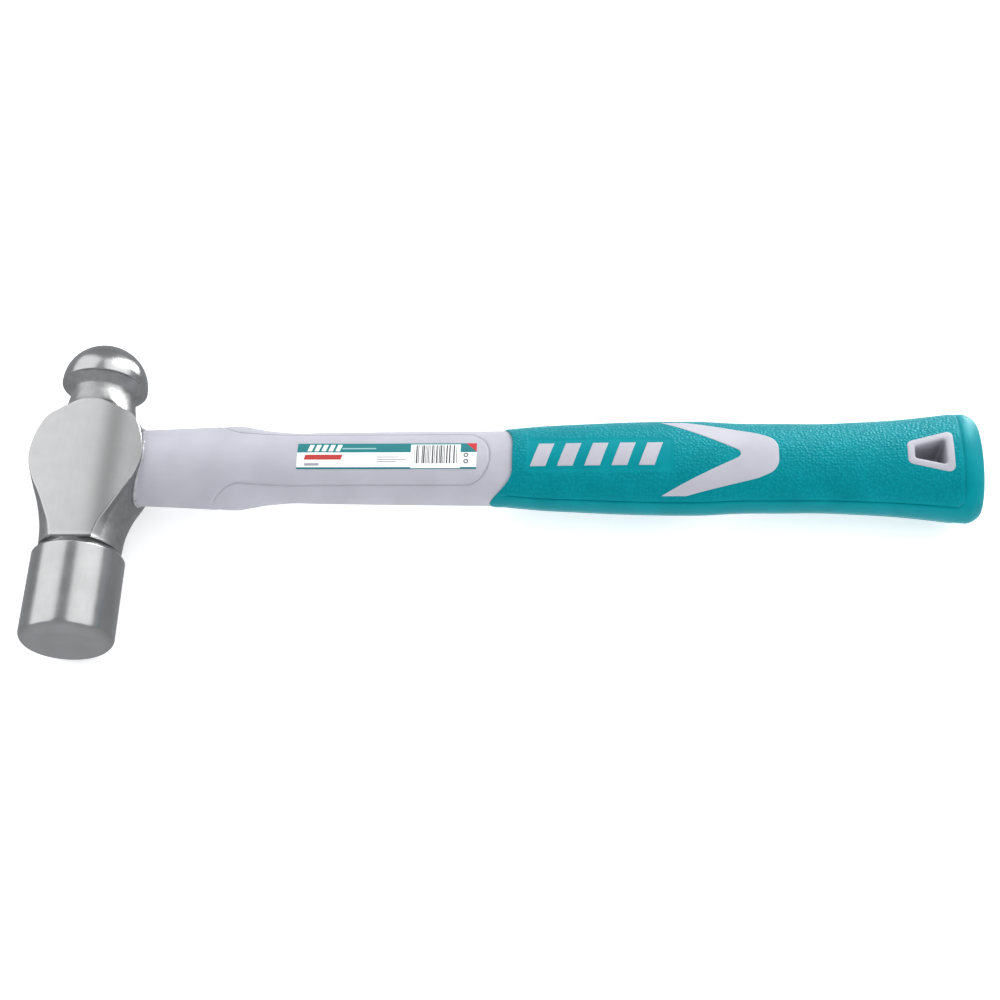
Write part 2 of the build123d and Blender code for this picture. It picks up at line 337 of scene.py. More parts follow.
def openMouth(points, quads, triangles):
    # cuts the end of the eye out of the far wall and turns its edge inwards as a straight-sided pocket
    t = np.linspace(0, 2 * math.pi, 97)[:-1]
    outline = np.stack([head["mouthHalfHeight"] * np.cos(t), head["mouthHalfWidth"] * np.sin(t)], -1)
    facing = points[:, [1, 2, 0]]
    far = facing[quads].mean(1)[:, 2] < 0
    facing, kept, edge = cutOut(facing, quads, outline, far)
    points = facing[:, [2, 0, 1]]
    rim = np.unique(edge)
    base, lookup = len(points), np.zeros(len(points), int)
    lookup[rim] = np.arange(len(rim))
    lip = points[rim] + (head["mouthLip"], 0, 0)
    lip[:, 1:] *= 1 - head["mouthLip"] / head["mouthHalfHeight"]
    floorRing = lip.copy()
    floorRing[:, 0] = -head["pocketFloor"]
    centre = [[-head["pocketFloor"], 0, 0]]
    points = np.concatenate([points, lip, floorRing, centre])
    count = len(rim)
    a, b = edge[:, 0], edge[:, 1]
    first, second = base + lookup[a], base + lookup[b]
    walls = [np.stack([b, a, first, second], -1),
             np.stack([second, first, first + count, second + count], -1)]
    fan = np.stack([second + count, first + count, np.full(len(a), len(points) - 1)], -1)
    return points, np.concatenate([kept] + walls), np.concatenate([triangles, fan])


def headMarks(points):
    # ground: 1 on the machined faces and 0 in the forged hollows beside them; edge: 1 along the cheek's rim,
    # where a lighter colour is painted that is partly edge wear and partly a painted highlight; the last mark
    # is 1 along the middle of the dark reflection band painted on each cheek
    y, height = points[:, 1], np.abs(points[:, 2])
    x = points[:, 0] - leaning(y, points[:, 2])
    cheek = smoothCurve(y, bodyStations[:, 0], bodyStations[:, 1])
    body = smoothStep(y, -head["shoulder"] - 0.2, -head["shoulder"] + 0.4) * (1 - smoothStep(y, 32.5, 33.5))
    beside = smoothStep(np.abs(x) - cheek, -0.1, 0.25) * (height < cheekHalf - 0.1)
    neck = smoothStep(y, 25.0, 25.8) * (1 - smoothStep(y, 38.0, 38.2))
    # a lighter rim painted along the cheek's edge, partly edge wear and partly a painted highlight
    rim = np.exp(-((np.abs(np.abs(x) - cheek) / 0.4) ** 2)) * (height > cheekHalf - 0.8)
    flat = body * (1 - neck) * (height > cheekHalf - 2.5)
    # painted reflection: a dark band on each cheek that stands in for the dark gap between the lights'
    # reflections
    paintedReflectionBand = np.exp(-((points[:, 0] - head["paintedBandPlace"]) / head["paintedBandHalf"]) ** 2) * flat
    return {"ground": 1 - np.maximum(body * beside, neck), "edge": rim * body * (1 - neck), "paintedReflectionBand": paintedReflectionBand}


headPoints, headQuads, headTriangles = openMouth(*buildHead())
headPiece = makePiece("hammer_head", headPoints, headQuads, headTriangles, 40, headMarks(headPoints))
print("head made")


jacket = {
    "front": 16.0, "back": 186.0,
    "panelRise": 0.55, "panelHalf": 11.2, "panelStart": 50.8, "panelEnd": 167.3, "panelRound": 9.3,
    "panelFunnel": 14.2, "funnelRise": 8.4, "funnelPower": 1.75,   # where the panel opens into the collar
    "panelSoftness": 0.3, "linePlace": 0.35, "lineWidth": 0.32, "lineDepth": 0.5,
    "markLift": 0.12, "markDepth": 1.2, "markRound": 0.25,
}
# place along the handle, half height, half thickness
shaftStations = np.array([
    (16.0, 16.5, 11.0), (25.2, 16.8, 11.2), (33.0, 17.15, 11.5), (41.4, 17.5, 11.8), (49.9, 17.95, 12.1),
    (56.2, 18.35, 12.3), (60.5, 18.65, 12.4), (63.5, 18.55, 12.3), (68.9, 17.6, 11.8), (73.1, 16.75, 11.5),
    (79.5, 15.95, 11.1), (85.8, 15.5, 10.8), (96.3, 15.7, 10.8), (113.0, 15.95, 10.8), (130.0, 16.15, 10.9),
    (146.5, 16.3, 11.0), (171.4, 16.5, 11.1), (190.0, 16.8, 11.2)])
gripStations = np.array([
    (160.0, 16.0, 11.3), (171.4, 16.5, 11.6), (179.7, 17.35, 11.9), (187.9, 18.2, 12.1), (204.4, 19.1, 12.6),
    (221.0, 19.9, 13.0), (237.0, 20.3, 13.2), (253.6, 20.3, 13.2), (270.0, 19.4, 12.8), (286.0, 19.3, 12.7),
    (302.0, 19.2, 12.6), (318.6, 19.9, 13.1), (330.7, 20.6, 13.7), (342.7, 21.8, 14.6), (350.7, 22.8, 15.3),
    (354.8, 23.3, 15.7), (359.8, 23.7, 16.0), (366.0, 23.7, 16.0)])


def halfSizes(stations, x):
    # half height and half thickness of the oval at each place along the handle
    return smoothCurve(x, stations[:, 0], stations[:, 1]), smoothCurve(x, stations[:, 0], stations[:, 2])


def fullTurn(quarter):
    # angles of a whole turn from those of its first quarter, the same above and below and on both edges
    half = np.concatenate([quarter, math.pi - quarter[..., -2::-1]], -1)
    return np.concatenate([half, 2 * math.pi - half[..., -2:0:-1]], -1)


def panelOutline():
    # the raised panel of the shaft: a round end, straight sides, and a funnel that opens into the collar
    j = jacket
    turn = np.linspace(-math.pi / 2, math.pi / 2, 33)
    roundEnd = np.stack([j["panelEnd"] + j["panelRound"] * (np.cos(turn) - 1),
                         j["panelHalf"] * np.sin(turn)], -1)
    share = np.linspace(0, 1, 17)
    funnel = np.stack([j["panelStart"] + j["panelFunnel"] * (1 - share),
                       j["panelHalf"] + j["funnelRise"] * share ** j["funnelPower"]], -1)
    # in front of the funnel the outline runs far outside the shaft
    foot, wide = j["panelStart"] - 0.5, 30
    return np.concatenate([[(-10, -wide), (foot, -wide)], funnel[::-1] * (1, -1), roundEnd, funnel,
                           [(foot, wide), (-10, wide)]])


panel = panelOutline()


def shaftTop(x, y):
    # height of the shaft's upper side: its oval, the raised panel and the fine line round the panel
    halfHeight, halfThickness = halfSizes(shaftStations, x)
    distance, _ = outlineDistance(panel, x, y)
    rise = jacket["panelRise"] * smoothStep(-distance, -jacket["panelSoftness"], jacket["panelSoftness"])
    line = jacket["lineDepth"] * np.exp(-((distance - jacket["linePlace"]) / jacket["lineWidth"]) ** 2)
    oval = halfThickness * np.sqrt(np.clip(1 - (y / halfHeight) ** 2, 0, 1))
    return oval + (rise - line) * np.clip(oval / 2.5, 0, 1)


def closeEnd(points, columns, lastRow, tip):
    # a fan from the last or the first ring of a grid to one point
    ring = np.arange(columns) + lastRow * columns
    points = np.concatenate([points, [tip]])
    return points, np.stack([ring, np.roll(ring, -1), np.full(columns, len(points) - 1)], -1)


def buildShaft():
    # oval rings along the handle, their columns crowded along the panel's edge
    j = jacket
    x = np.concatenate([np.arange(j["front"], 48, 1.0), np.arange(48, 70, 0.5), np.arange(70, 156, 1.25),
                        np.arange(156, 168.6, 0.35), np.arange(169, j["back"] + 0.1, 1.2)])
    halfHeight, _ = halfSizes(shaftStations, x)
    roundShare = np.clip((x - j["panelEnd"] + j["panelRound"]) / j["panelRound"], 0, 1)
    funnelShare = np.clip(1 - (x - j["panelStart"]) / j["panelFunnel"], 0, 1)
    edgeHeight = j["panelHalf"] * np.sqrt(1 - roundShare ** 2)
    edgeHeight += j["funnelRise"] * funnelShare ** j["funnelPower"]
    edgeHeight = np.where(x < j["panelStart"], halfHeight, edgeHeight)
    step = np.arccos(np.clip(edgeHeight / halfHeight, 0, 1))
    spread = 1.1 / halfHeight
    low = np.clip(step - spread, 0.02, math.pi / 2 - 0.2)
    high = np.clip(step + spread, 0.1, math.pi / 2 - 0.1)
    a, b, c = np.linspace(0, 1, 13)[:-1], np.linspace(0, 1, 15)[:-1], np.linspace(0, 1, 17)
    quarter = np.concatenate([low[:, None] * a, low[:, None] + (high - low)[:, None] * b,
                              high[:, None] + (math.pi / 2 - high)[:, None] * c], -1)
    angle = fullTurn(quarter)
    along = np.repeat(x[:, None], angle.shape[1], 1)
    y = halfHeight[:, None] * np.cos(angle)
    side = np.where(np.abs(np.sin(angle)) < 1e-9, 0, np.sign(np.sin(angle)))
    z = shaftTop(along.ravel(), y.ravel()).reshape(y.shape) * side
    points = np.stack([along, y, z], -1).reshape(-1, 3)
    quads = gridQuads(len(x), angle.shape[1], True)
    points, front = closeEnd(points, angle.shape[1], 0, (j["front"], 0, 0))
    points, back = closeEnd(points, angle.shape[1], len(x) - 1, (j["back"], 0, 0))
    return points, quads, np.concatenate([front, back])


grip = {
    "frontPlace": 176.9, "upperLobe": 4.4, "lowerLobe": 9.4, "straightBy": 206.0,
    "panelRise": 0.5, "panelAngle": 26.7, "panelEnd": 356.6, "panelCorner": 3.0, "panelSoftness": 0.16,
    "arcRadius": 14.7,         # turns an angle round the grip into a length over its skin
    "grooveDepth": 0.4, "grooveWidth": 0.28, "groovePlace": 0.3,
    "stepStart": 170.5, "stepFade": 7,          # the panel's step fades out before the front edge
    "plateStart": 183.3, "plateEnd": 241.8, "plateHalf": 7.1, "plateDepth": 0.22, "plateCorner": 0.8,
    "rowSpacing": 0.72,
}
# the butt's dome: place back from the butt, share of the full oval
buttDome = np.array([
    (6.6, 0.998), (5.8, 0.99), (5.0, 0.977), (4.2, 0.96), (3.4, 0.938), (2.6, 0.91), (2.1, 0.888),
    (1.7, 0.865), (1.4, 0.835), (1.15, 0.79), (0.95, 0.73), (0.75, 0.64), (0.55, 0.52), (0.32, 0.37),
    (0.12, 0.2)])


def softBox(x, y, low, high, corner):
    # distance inwards from the edge of a rectangle with rounded corners
    inX = np.minimum(x - low[0], high[0] - x)
    inY = np.minimum(y - low[1], high[1] - y)
    return corner - np.hypot(np.maximum(corner - inX, 0), np.maximum(corner - inY, 0))


def gripRelief(x, y, halfHeight):
    # extra thickness of the rubber: raised side panels, less the smooth sunk plate; and how pebbled it is
    g = grip
    fromSpine = np.arccos(np.clip(np.abs(y) / halfHeight, 0, 1))
    arc = (fromSpine - math.radians(g["panelAngle"])) * g["arcRadius"]
    inside = g["panelCorner"] - np.hypot(np.maximum(g["panelCorner"] - arc, 0),
                                         np.maximum(g["panelCorner"] - (g["panelEnd"] - x), 0))
    low, high = (g["plateStart"], -g["plateHalf"]), (g["plateEnd"], g["plateHalf"])
    plate = softBox(x, y, low, high, g["plateCorner"])
    soft = g["panelSoftness"]
    sunk = smoothStep(x, g["stepStart"], g["stepStart"] + g["stepFade"])
    groove = g["grooveDepth"] * np.exp(-((inside + g["groovePlace"]) / g["grooveWidth"]) ** 2)
    relief = g["panelRise"] - (g["panelRise"] * smoothStep(-inside, -soft, soft) + groove) * sunk
    relief -= g["plateDepth"] * smoothStep(plate, -0.3, 0.3)
    pebble = smoothStep(inside, 0.5, 1.5) * (1 - smoothStep(plate, -0.8, -0.1)) * smoothStep(x, 169, 172)
    return relief, pebble


def gripTop(x, y):
    # height of the rubber's upper side
    halfHeight, halfThickness = halfSizes(gripStations, x)
    relief, _ = gripRelief(x, y, halfHeight)
    return (halfThickness + relief) * np.sqrt(np.clip(1 - (y / (halfHeight + relief)) ** 2, 0, 1))


def stretch(outline, spacing):
    # the same closed outline with its long sides divided, and how many parts each side was given
    following = np.roll(outline, -1, 0)
    parts = np.maximum(1, np.round(np.linalg.norm(following - outline, axis=1) / spacing)).astype(int)
    return divide(outline, parts), parts


def divide(outline, parts):
    # each side of an outline cut into its given number of equal parts
    following = np.roll(outline, -1, 0)
    start, step = np.repeat(outline, parts, 0), np.repeat((following - outline) / parts[:, None], parts, 0)
    count = np.arange(parts.sum()) - np.repeat(np.cumsum(parts) - parts, parts)
    return start + step * count[:, None]


hole = {"start": -28.2, "length": 12.1, "frontHalf": 2.5, "backHalf": 5.7, "corner": 1.2, "rimWidth": 3.0}


def holeOutline(margin):
    # the tapered hang hole, widest at the butt, grown by a margin
    h = hole
    start, end = buttEnd + h["start"], buttEnd + h["start"] + h["length"]
    slope = (h["backHalf"] - h["frontHalf"]) / h["length"]
    front = h["frontHalf"] + margin * (math.sqrt(1 + slope * slope) - slope)
    back = h["backHalf"] + margin * (math.sqrt(1 + slope * slope) + slope)
    corners = [(start - margin, -front), (end + margin, -back), (end + margin, back), (start - margin, front)]
    return roundCorners(corners, [h["corner"] + 0.35 * margin] * 4, 7)


def buildGrip():
    # oval rings whose front row follows the curved edge of the rubber; a rolled lip, a dome and a hole
    g = grip
    fine = math.radians(g["panelAngle"])
    # finer columns beside the edge of the raised panel
    quarter = np.concatenate([np.linspace(0, fine - 0.05, 9)[:-1], np.linspace(fine - 0.05, fine + 0.05, 9),
                              np.linspace(fine + 0.05, math.pi / 2, 33)[1:]])
    angle = fullTurn(quarter)
    end = buttEnd - buttDome[0, 0] - 0.7
    x = np.linspace(g["frontPlace"], end, int((end - g["frontPlace"]) / g["rowSpacing"]))
    x = np.concatenate([x[0] + np.array([0, 0.12, 0.35]), x[1:]])
    towardsSpine = np.abs(np.abs(angle / math.pi - 1) * 2 - 1)   # 0 at the middle of a side, 1 at a spine
    lobe = np.where(np.cos(angle) > 0, g["upperLobe"], g["lowerLobe"])
    bend = lobe * smoothStep(towardsSpine, 0.22, 1.0)
    along = x[:, None] - bend[None] * (1 - smoothStep(x, g["frontPlace"] + 0.5, g["straightBy"]))[:, None]
    lip = np.concatenate([[-0.45, -0.16, -0.03], np.zeros(len(x) - 3)])
    halfHeight, halfThickness = halfSizes(gripStations, along)
    flat = along.ravel()
    relief, pebble = gripRelief(flat, (halfHeight * np.cos(angle)).ravel(), halfHeight.ravel())
    relief, pebble = relief.reshape(along.shape) + lip[:, None], pebble.reshape(along.shape)
    y, z = (halfHeight + relief) * np.cos(angle), (halfThickness + relief) * np.sin(angle)
    rows = np.stack([along, y, z], -1)
    # behind the lip the front face drops inside the shaft; at the butt the rings shrink over the dome
    inner = np.stack([rows[0] * (1, s, s) + (d, 0, 0) for s, d in ((0.5, 3.0), (0.93, 0.15))])
    domeX = buttEnd - buttDome[:, 0]
    lastHeight, lastThickness = halfSizes(gripStations, domeX[:1])
    share = buttDome[:, 1, None]
    dome = np.stack([np.repeat(domeX[:, None], len(angle), 1), lastHeight * share * np.cos(angle),
                     lastThickness * share * np.sin(angle)], -1)
    rows = np.concatenate([inner, rows, dome])
    pebble = np.concatenate([np.zeros((2, len(angle))), pebble, np.zeros((len(dome), len(angle)))])
    count, columns = rows.shape[:2]
    points, quads = rows.reshape(-1, 3), gridQuads(count, columns, True)
    # the hole: both sides are cut to the same outline, and each edge point is joined to the one under it
    cut = holeOutline(hole["rimWidth"] - 0.35)
    points, quads, edge = cutOut(points, quads, cut)
    edge = edge[points[edge].mean(1)[:, 2] > 0]
    row, column = np.divmod(edge, columns)
    under = row * columns + (columns - column) % columns
    walls = np.stack([edge[:, 1], edge[:, 0], under[:, 0], under[:, 1]], -1)
    points, front = closeEnd(points, columns, 0, (g["frontPlace"] + 6, 0, 0))
    points, back = closeEnd(points, columns, count - 1, (buttEnd, 0, 0))
    pebble = np.concatenate([pebble.ravel(), [0, 0]])
    return points, np.concatenate([quads, walls]), np.concatenate([front, back]), pebble


gripPoints, gripQuads, gripTriangles, pebbled = buildGrip()
gripPiece = makePiece("grip_sleeve", gripPoints, gripQuads, gripTriangles, 50, {"pebbled": pebbled})
print("grip made")


def bentPlate(first, second, surface, lift, depth, rounding, spacing=0.6):
    # a thin plate between two matched edge lines, laid on a surface z = f(x, y); its rim turns down in a
    # quarter circle, and the same grid lower down is its underside
    length = np.linalg.norm(np.diff((first + second) / 2, axis=0), axis=1)
    rim = rounding * np.array([0, 0.06, 0.2, 0.45, 1])
    run = np.concatenate([[0], np.cumsum(length)])
    inner = np.linspace(rim[-1], run[-1] - rim[-1], max(3, int(run[-1] / spacing)))
    along = np.concatenate([rim[:-1], inner, run[-1] - rim[-2::-1]])
    first, second = (np.stack([np.interp(along, run, line[:, k]) for k in (0, 1)], -1)
                     for line in (first, second))
    width = np.linalg.norm(second - first, axis=1)
    middle = np.linspace(0, 1, max(3, int(width.max() / spacing)))
    edge = rim[None] / width[:, None]
    across = np.concatenate([edge[:, :-1], edge[:, -1:] + (1 - 2 * edge[:, -1:]) * middle,
                             1 - edge[:, -2::-1]], 1)
    flat = first[:, None] + (second - first)[:, None] * across[..., None]
    fromEdge = np.minimum(across, 1 - across) * width[:, None]
    fromEnd = np.minimum(along, run[-1] - along)[:, None]
    inwards = np.clip(np.minimum(fromEdge, fromEnd) / rounding, 0, 1)
    x, y = flat[..., 0].ravel(), flat[..., 1].ravel()
    base = surface(x, y)
    top = base + lift - rounding * (1 - np.sqrt(1 - (1 - inwards.ravel()) ** 2))
    points = np.concatenate([np.stack([x, y, top], -1), np.stack([x, y, base - depth], -1)])
    quads = gridQuads(*across.shape, False)
    count, rimEdges = len(x), openEdges(quads)
    walls = np.stack([rimEdges[:, 1], rimEdges[:, 0], rimEdges[:, 0] + count, rimEdges[:, 1] + count], -1)
    return points, np.concatenate([quads, quads[:, ::-1] + count, walls])


def bothSides(part):
    # the same part again on the underside of the handle
    return [part, (part[0] * (1, 1, -1), part[1][:, ::-1])]


marks = {
    "barStart": 186.0, "barCount": 5, "barPitch": 11.0, "barWidth": 6.4, "barHalf": 5.2, "barLean": 1.8,
    "armStart": 237.2, "armWidth": 10.0, "armHalf": 16.8, "innerTip": 271.8, "innerRound": 2.0,
    "outerTip": 284.5, "noseHalf": 6.8, "noseRound": 6.5,
    "bendBack": 8.5, "bendHalf": 10.2, "bendRound": 14,
}


def bentLine(corners, radii, count=81):
    # an open line with rounded corners, as points the same share of its length apart
    points = roundCorners(corners, radii, 9)
    run = np.concatenate([[0], np.cumsum(np.linalg.norm(np.diff(points, axis=0), axis=1))])
    share = np.linspace(0, run[-1], count)
    return np.stack([np.interp(share, run, points[:, k]) for k in (0, 1)], -1)


def markEdges():
    # the two edges of each mark: five leaning bars, and one broad chevron that points at the butt
    m = marks
    pairs = []
    for i in range(m["barCount"]):
        x, lean, half = m["barStart"] + i * m["barPitch"], m["barLean"], m["barHalf"]
        left = bentLine([(x - lean, -half), (x + lean, half)], [0, 0], 9)
        pairs.append((left, left + (m["barWidth"], 0)))
    arm, half, tip = m["armStart"], m["armHalf"], m["outerTip"]
    inner = bentLine([(arm, -half), (m["innerTip"], 0), (arm, half)], [0, m["innerRound"], 0])
    upper = [(tip, m["noseHalf"]), (tip - m["bendBack"], m["bendHalf"]), (arm + m["armWidth"], half)]
    lower = [(x, -y) for x, y in upper[::-1]]
    radii = [m["noseRound"], m["bendRound"], 0]
    pairs.append((inner, bentLine(lower + upper, radii[::-1] + radii)))
    return pairs


def holeRim():
    # the moulded eyelet: one closed loop of sections carried round the hole, from its outer edge over the
    # rounded top and down the bore to the other side
    outer, parts = stretch(holeOutline(hole["rimWidth"]), 0.5)
    inner = divide(holeOutline(0), parts)
    # share of the way from the outer to the inner edge, drop below the top
    half = np.array([
        (0, 1.6), (0, 0.22), (0.04, 0.06), (0.12, 0), (0.4, 0), (0.7, 0.02), (0.82, 0.12), (0.92, 0.38),
        (0.98, 0.8), (1, 1.3), (1, 5)])
    share = np.concatenate([half[:, 0], half[::-1, 0]])[:, None, None]
    side = np.concatenate([np.ones(len(half)), -np.ones(len(half))])[:, None]
    drop = np.concatenate([half[:, 1], half[::-1, 1]])[:, None]
    flat = outer[None] + (inner - outer)[None] * share
    top = gripTop(flat[..., 0].ravel(), flat[..., 1].ravel()).reshape(flat.shape[:2])
    z = side * (top + jacket["markLift"] + 0.05 - drop)
    points = np.concatenate([flat, z[..., None]], -1)
    points = np.concatenate([points, points[:1]])
    return points.reshape(-1, 3), gridQuads(len(points), points.shape[1], True)


markParts = []
for edges in markEdges():
    plate = bentPlate(*edges, gripTop, jacket["markLift"], jacket["markDepth"], jacket["markRound"])
    markParts += bothSides(plate)
jacketPiece = makePiece("handle_moulding", *join([buildShaft(), holeRim()] + markParts), sharp=40)
print("moulding made")


label = {"start": 88.5, "end": 162.4, "half": 5.9, "lift": 0.12}


def buildLabel():
    # a film laid on the panel
    low = np.stack([np.linspace(label["start"], label["end"], 9), np.full(9, -label["half"])], -1)
    return bentPlate(low, low + (0, 2 * label["half"]), shaftTop, label["lift"], -0.01, 0.06, spacing=0.7)


labelPiece = makePiece("paper_wrap", *buildLabel(), sharp=40)
print("label made")


bead = {"size": 0.85, "wander": 0.35, "place": 23.5, "turns": 240, "sides": 14}
fill = {"depth": 1.4, "turns": 120}


def wallPlace(y, z):
    # how far the head's side wall stands from its axis, at a height and a thickness
    corner = smoothCurve(y, bodyStations[:, 0], bodyStations[:, 1])
    width = smoothCurve(y, bodyStations[:, 0], bodyStations[:, 2])
    return width - (width - corner) * np.clip(z / cheekHalf, -1, 1) ** 2


def loopQuads(rows, columns):
    # a grid joined to itself both ways
    index = np.arange(rows * columns).reshape(rows, columns)
    beside, following = np.roll(index, -1, 1), np.roll(index, -1, 0)
    return np.stack([index, beside, np.roll(beside, -1, 0), following], -1).reshape(-1, 4)


def buildBead():
    # a tube round the shaft where it leaves the head, its size and place drifting like squeezed-out resin
    turn = np.linspace(0, 2 * math.pi, bead["turns"] + 1)[:-1, None]
    tube = np.linspace(0, 2 * math.pi, bead["sides"] + 1)[None, :-1]
    drift = np.sin(5 * turn + 0.7) + 0.6 * np.sin(11 * turn + 2.1) + 0.4 * np.sin(23 * turn)
    size = bead["size"] * (1 + 0.16 * drift)
    halfHeight, halfThickness = halfSizes(shaftStations, np.array([bead["place"]]))
    y, z = halfHeight * np.cos(turn), halfThickness * np.sin(turn)
    wall = wallPlace(y, z)
    outwards = np.concatenate([halfThickness * np.cos(turn), halfHeight * np.sin(turn)], -1)
    outwards /= np.linalg.norm(outwards, axis=-1, keepdims=True)
    reach = size * np.cos(tube)
    points = np.stack([wall + 0.15 + size * 0.9 * np.sin(tube) + 0.1 * bead["wander"] * drift,
                       y + outwards[:, :1] * (reach + 0.1), z + outwards[:, 1:] * (reach + 0.1)], -1)
    return points.reshape(-1, 3), loopQuads(bead["turns"], bead["sides"])


def buildFill():
    # the resin that fills the far mouth of the eye: a plug with a slightly sunk, uneven face
    columns = fill["turns"]
    turn, share = np.linspace(0, 2 * math.pi, columns + 1)[None, :-1], np.linspace(1, 0.04, 26)[:, None]
    y = head["mouthHalfHeight"] * share * np.cos(turn) * 1.01
    z = head["mouthHalfWidth"] * share * np.sin(turn) * 1.01
    wave = 0.18 * np.sin(y / 2.3 + 1) * np.cos(z / 1.9) + 0.1 * np.sin(y / 0.9) * np.sin(z / 1.3 + 2)
    face = -wallPlace(y, z) + fill["depth"] * (1 - 0.75 * share ** 6) + wave * (1 - share ** 4)
    x = np.concatenate([np.full((1, columns), -head["pocketFloor"]), face])
    y, z = np.concatenate([y[:1], y]), np.concatenate([z[:1], z])
    points = np.stack([x, y, z], -1).reshape(-1, 3)
    points, back = closeEnd(points, columns, 0, (-head["pocketFloor"], 0, 0))
    points, front = closeEnd(points, columns, len(x) - 1, (face[-1].mean(), 0, 0))
    return points, gridQuads(len(x), columns, True), np.concatenate([back, front])


resinPiece = makePiece("eye_resin_fill", *join([buildBead(), buildFill()]), sharp=40)
print("resin made")


def linear(code):
    # an sRGB hex colour as linear light: ((c + 0.055) / 1.055) ^ 2.4 above the toe, c / 12.92 below it
    srgb = [int(code[i:i + 2], 16) / 255 for i in (0, 2, 4)]
    return tuple(((c + 0.055) / 1.055) ** 2.4 if c > 0.04045 else c / 12.92 for c in srgb) + (1.0,)


def feed(tree, node, inputs):
    # gives each named input of a node a value, or the output of another node
    for key, value in inputs.items():
        if isinstance(value, bpy.types.NodeSocket):
            tree.links.new(value, node.inputs[key])
        else:
            node.inputs[key].default_value = value


def add(tree, kind, inputs=None, **settings):
    # one node with its settings and inputs; what comes back is its first output in use
    node = tree.nodes.new("ShaderNode" + kind)
    for key, value in settings.items():
        setattr(node, key, value)
    feed(tree, node, inputs or {})
    return next(socket for socket in node.outputs if socket.enabled)


def tinted(tree, value, low, high, first, second, most=1):
    # a colour that goes from first to second by up to the share most, as a value goes from low to high
    share = add(tree, "MapRange", {"Value": value, "From Min": low, "From Max": high, "To Max": most})
    return add(tree, "Mix", {0: share, 6: first, 7: second}, data_type="RGBA")


def newMaterial(name):
    # an empty material with its shader, and Object coordinates in millimetres about the eye
    material = bpy.data.materials.new(name)
    material.use_nodes = True
    tree = material.node_tree
    place = add(tree, "TexCoord").node.outputs["Object"]
    place = add(tree, "Mapping", {"Vector": place, "Location": -eye / mm, "Scale": (1 / mm,) * 3})
    return material, tree, tree.nodes["Principled BSDF"], place


# the band colour is a painted dark reflection; the edge colour is a lighter rim, partly edge wear and partly
# a painted highlight
steel = {"bright": "a8a8a8", "dull": "a1a1a1", "paintedReflectionBand": "727272", "line": "c2c2c2", "edge": "bcbcbc",
         "forged": "979797", "pit": "b4b4b4", "roughness": 0.24, "forgedRoughness": 0.42}


def forgedSteelSatinGround():
    # drop-forged steel, satin ground on its faces: soft long reflections, a fine grain along the head, a dark
    # reflection band painted on each cheek, a lighter rim along the cheek's edge that is partly edge wear and
    # partly a painted highlight, and duller, slightly pitted hollows where the forging was only blasted
    material, tree, shader, place = newMaterial("forgedSteelSatinGround")
    ground, edge, paintedReflectionBand = (add(tree, "Attribute", attribute_name=name).node.outputs["Fac"]
                          for name in ("ground", "edge", "paintedReflectionBand"))
    cloud = add(tree, "TexNoise", {"Vector": place, "Scale": 1 / 9, "Detail": 3, "Roughness": 0.55})
    # grinding lines 0.35 mm apart and 10 mm long
    along = add(tree, "Mapping", {"Vector": place, "Scale": (1 / 0.35, 1 / (0.35 * 30), 1 / 0.35)})
    grain = add(tree, "TexNoise", {"Vector": along, "Scale": 1, "Detail": 3, "Roughness": 0.6})
    # blasted grit of 0.8 mm, and shallow pits of 3.5 mm
    grit = add(tree, "TexNoise", {"Vector": place, "Scale": 1 / 0.8, "Detail": 4, "Roughness": 0.65})
    pits = add(tree, "TexNoise", {"Vector": place, "Scale": 1 / 3.5, "Detail": 3, "Roughness": 0.6})
    face = tinted(tree, cloud, 0.35, 0.65, linear(steel["dull"]), linear(steel["bright"]))
    face = tinted(tree, grain, 0.3, 0.7, face, linear(steel["line"]), 0.1)
    hollow = tinted(tree, pits, 0.35, 0.7, linear(steel["forged"]), linear(steel["pit"]), 0.5)
    colour = add(tree, "Mix", {0: ground, 6: hollow, 7: face}, data_type="RGBA")
    # paints the dark reflection band and the lighter rim, partly edge wear and partly a painted highlight,
    # into the colour
    for mark, strength, name in ((paintedReflectionBand, 0.75, "paintedReflectionBand"), (edge, 0.3, "edge")):
        share = add(tree, "Math", {0: mark, 1: strength}, operation="MULTIPLY")
        colour = add(tree, "Mix", {0: share, 6: colour, 7: linear(steel[name])}, data_type="RGBA")
    base = add(tree, "MapRange", {"Value": ground, "To Min": steel["forgedRoughness"],
                                  "To Max": steel["roughness"]})
    drift = add(tree, "MapRange", {"Value": cloud, "From Min": 0.3, "From Max": 0.7,
                                   "To Min": -0.015, "To Max": 0.025})
    rough = add(tree, "Math", {0: base, 1: drift}, operation="ADD")
    blasted = add(tree, "Math", {0: 1, 1: ground}, operation="SUBTRACT")
    normal = add(tree, "Bump", {"Height": grain, "Distance": 0.006 * mm, "Strength": ground})
    normal = add(tree, "Bump", {"Height": grit, "Distance": 0.05 * mm, "Strength": blasted, "Normal": normal})
    normal = add(tree, "Bump", {"Height": pits, "Distance": 0.12 * mm, "Strength": blasted, "Normal": normal})
    feed(tree, shader, {"Metallic": 1, "Base Color": colour, "Roughness": rough, "Normal": normal})
    return material


plastic = {"dark": "a7a7b0", "light": "afafb8", "spark": 0.45, "ior": 1.49}


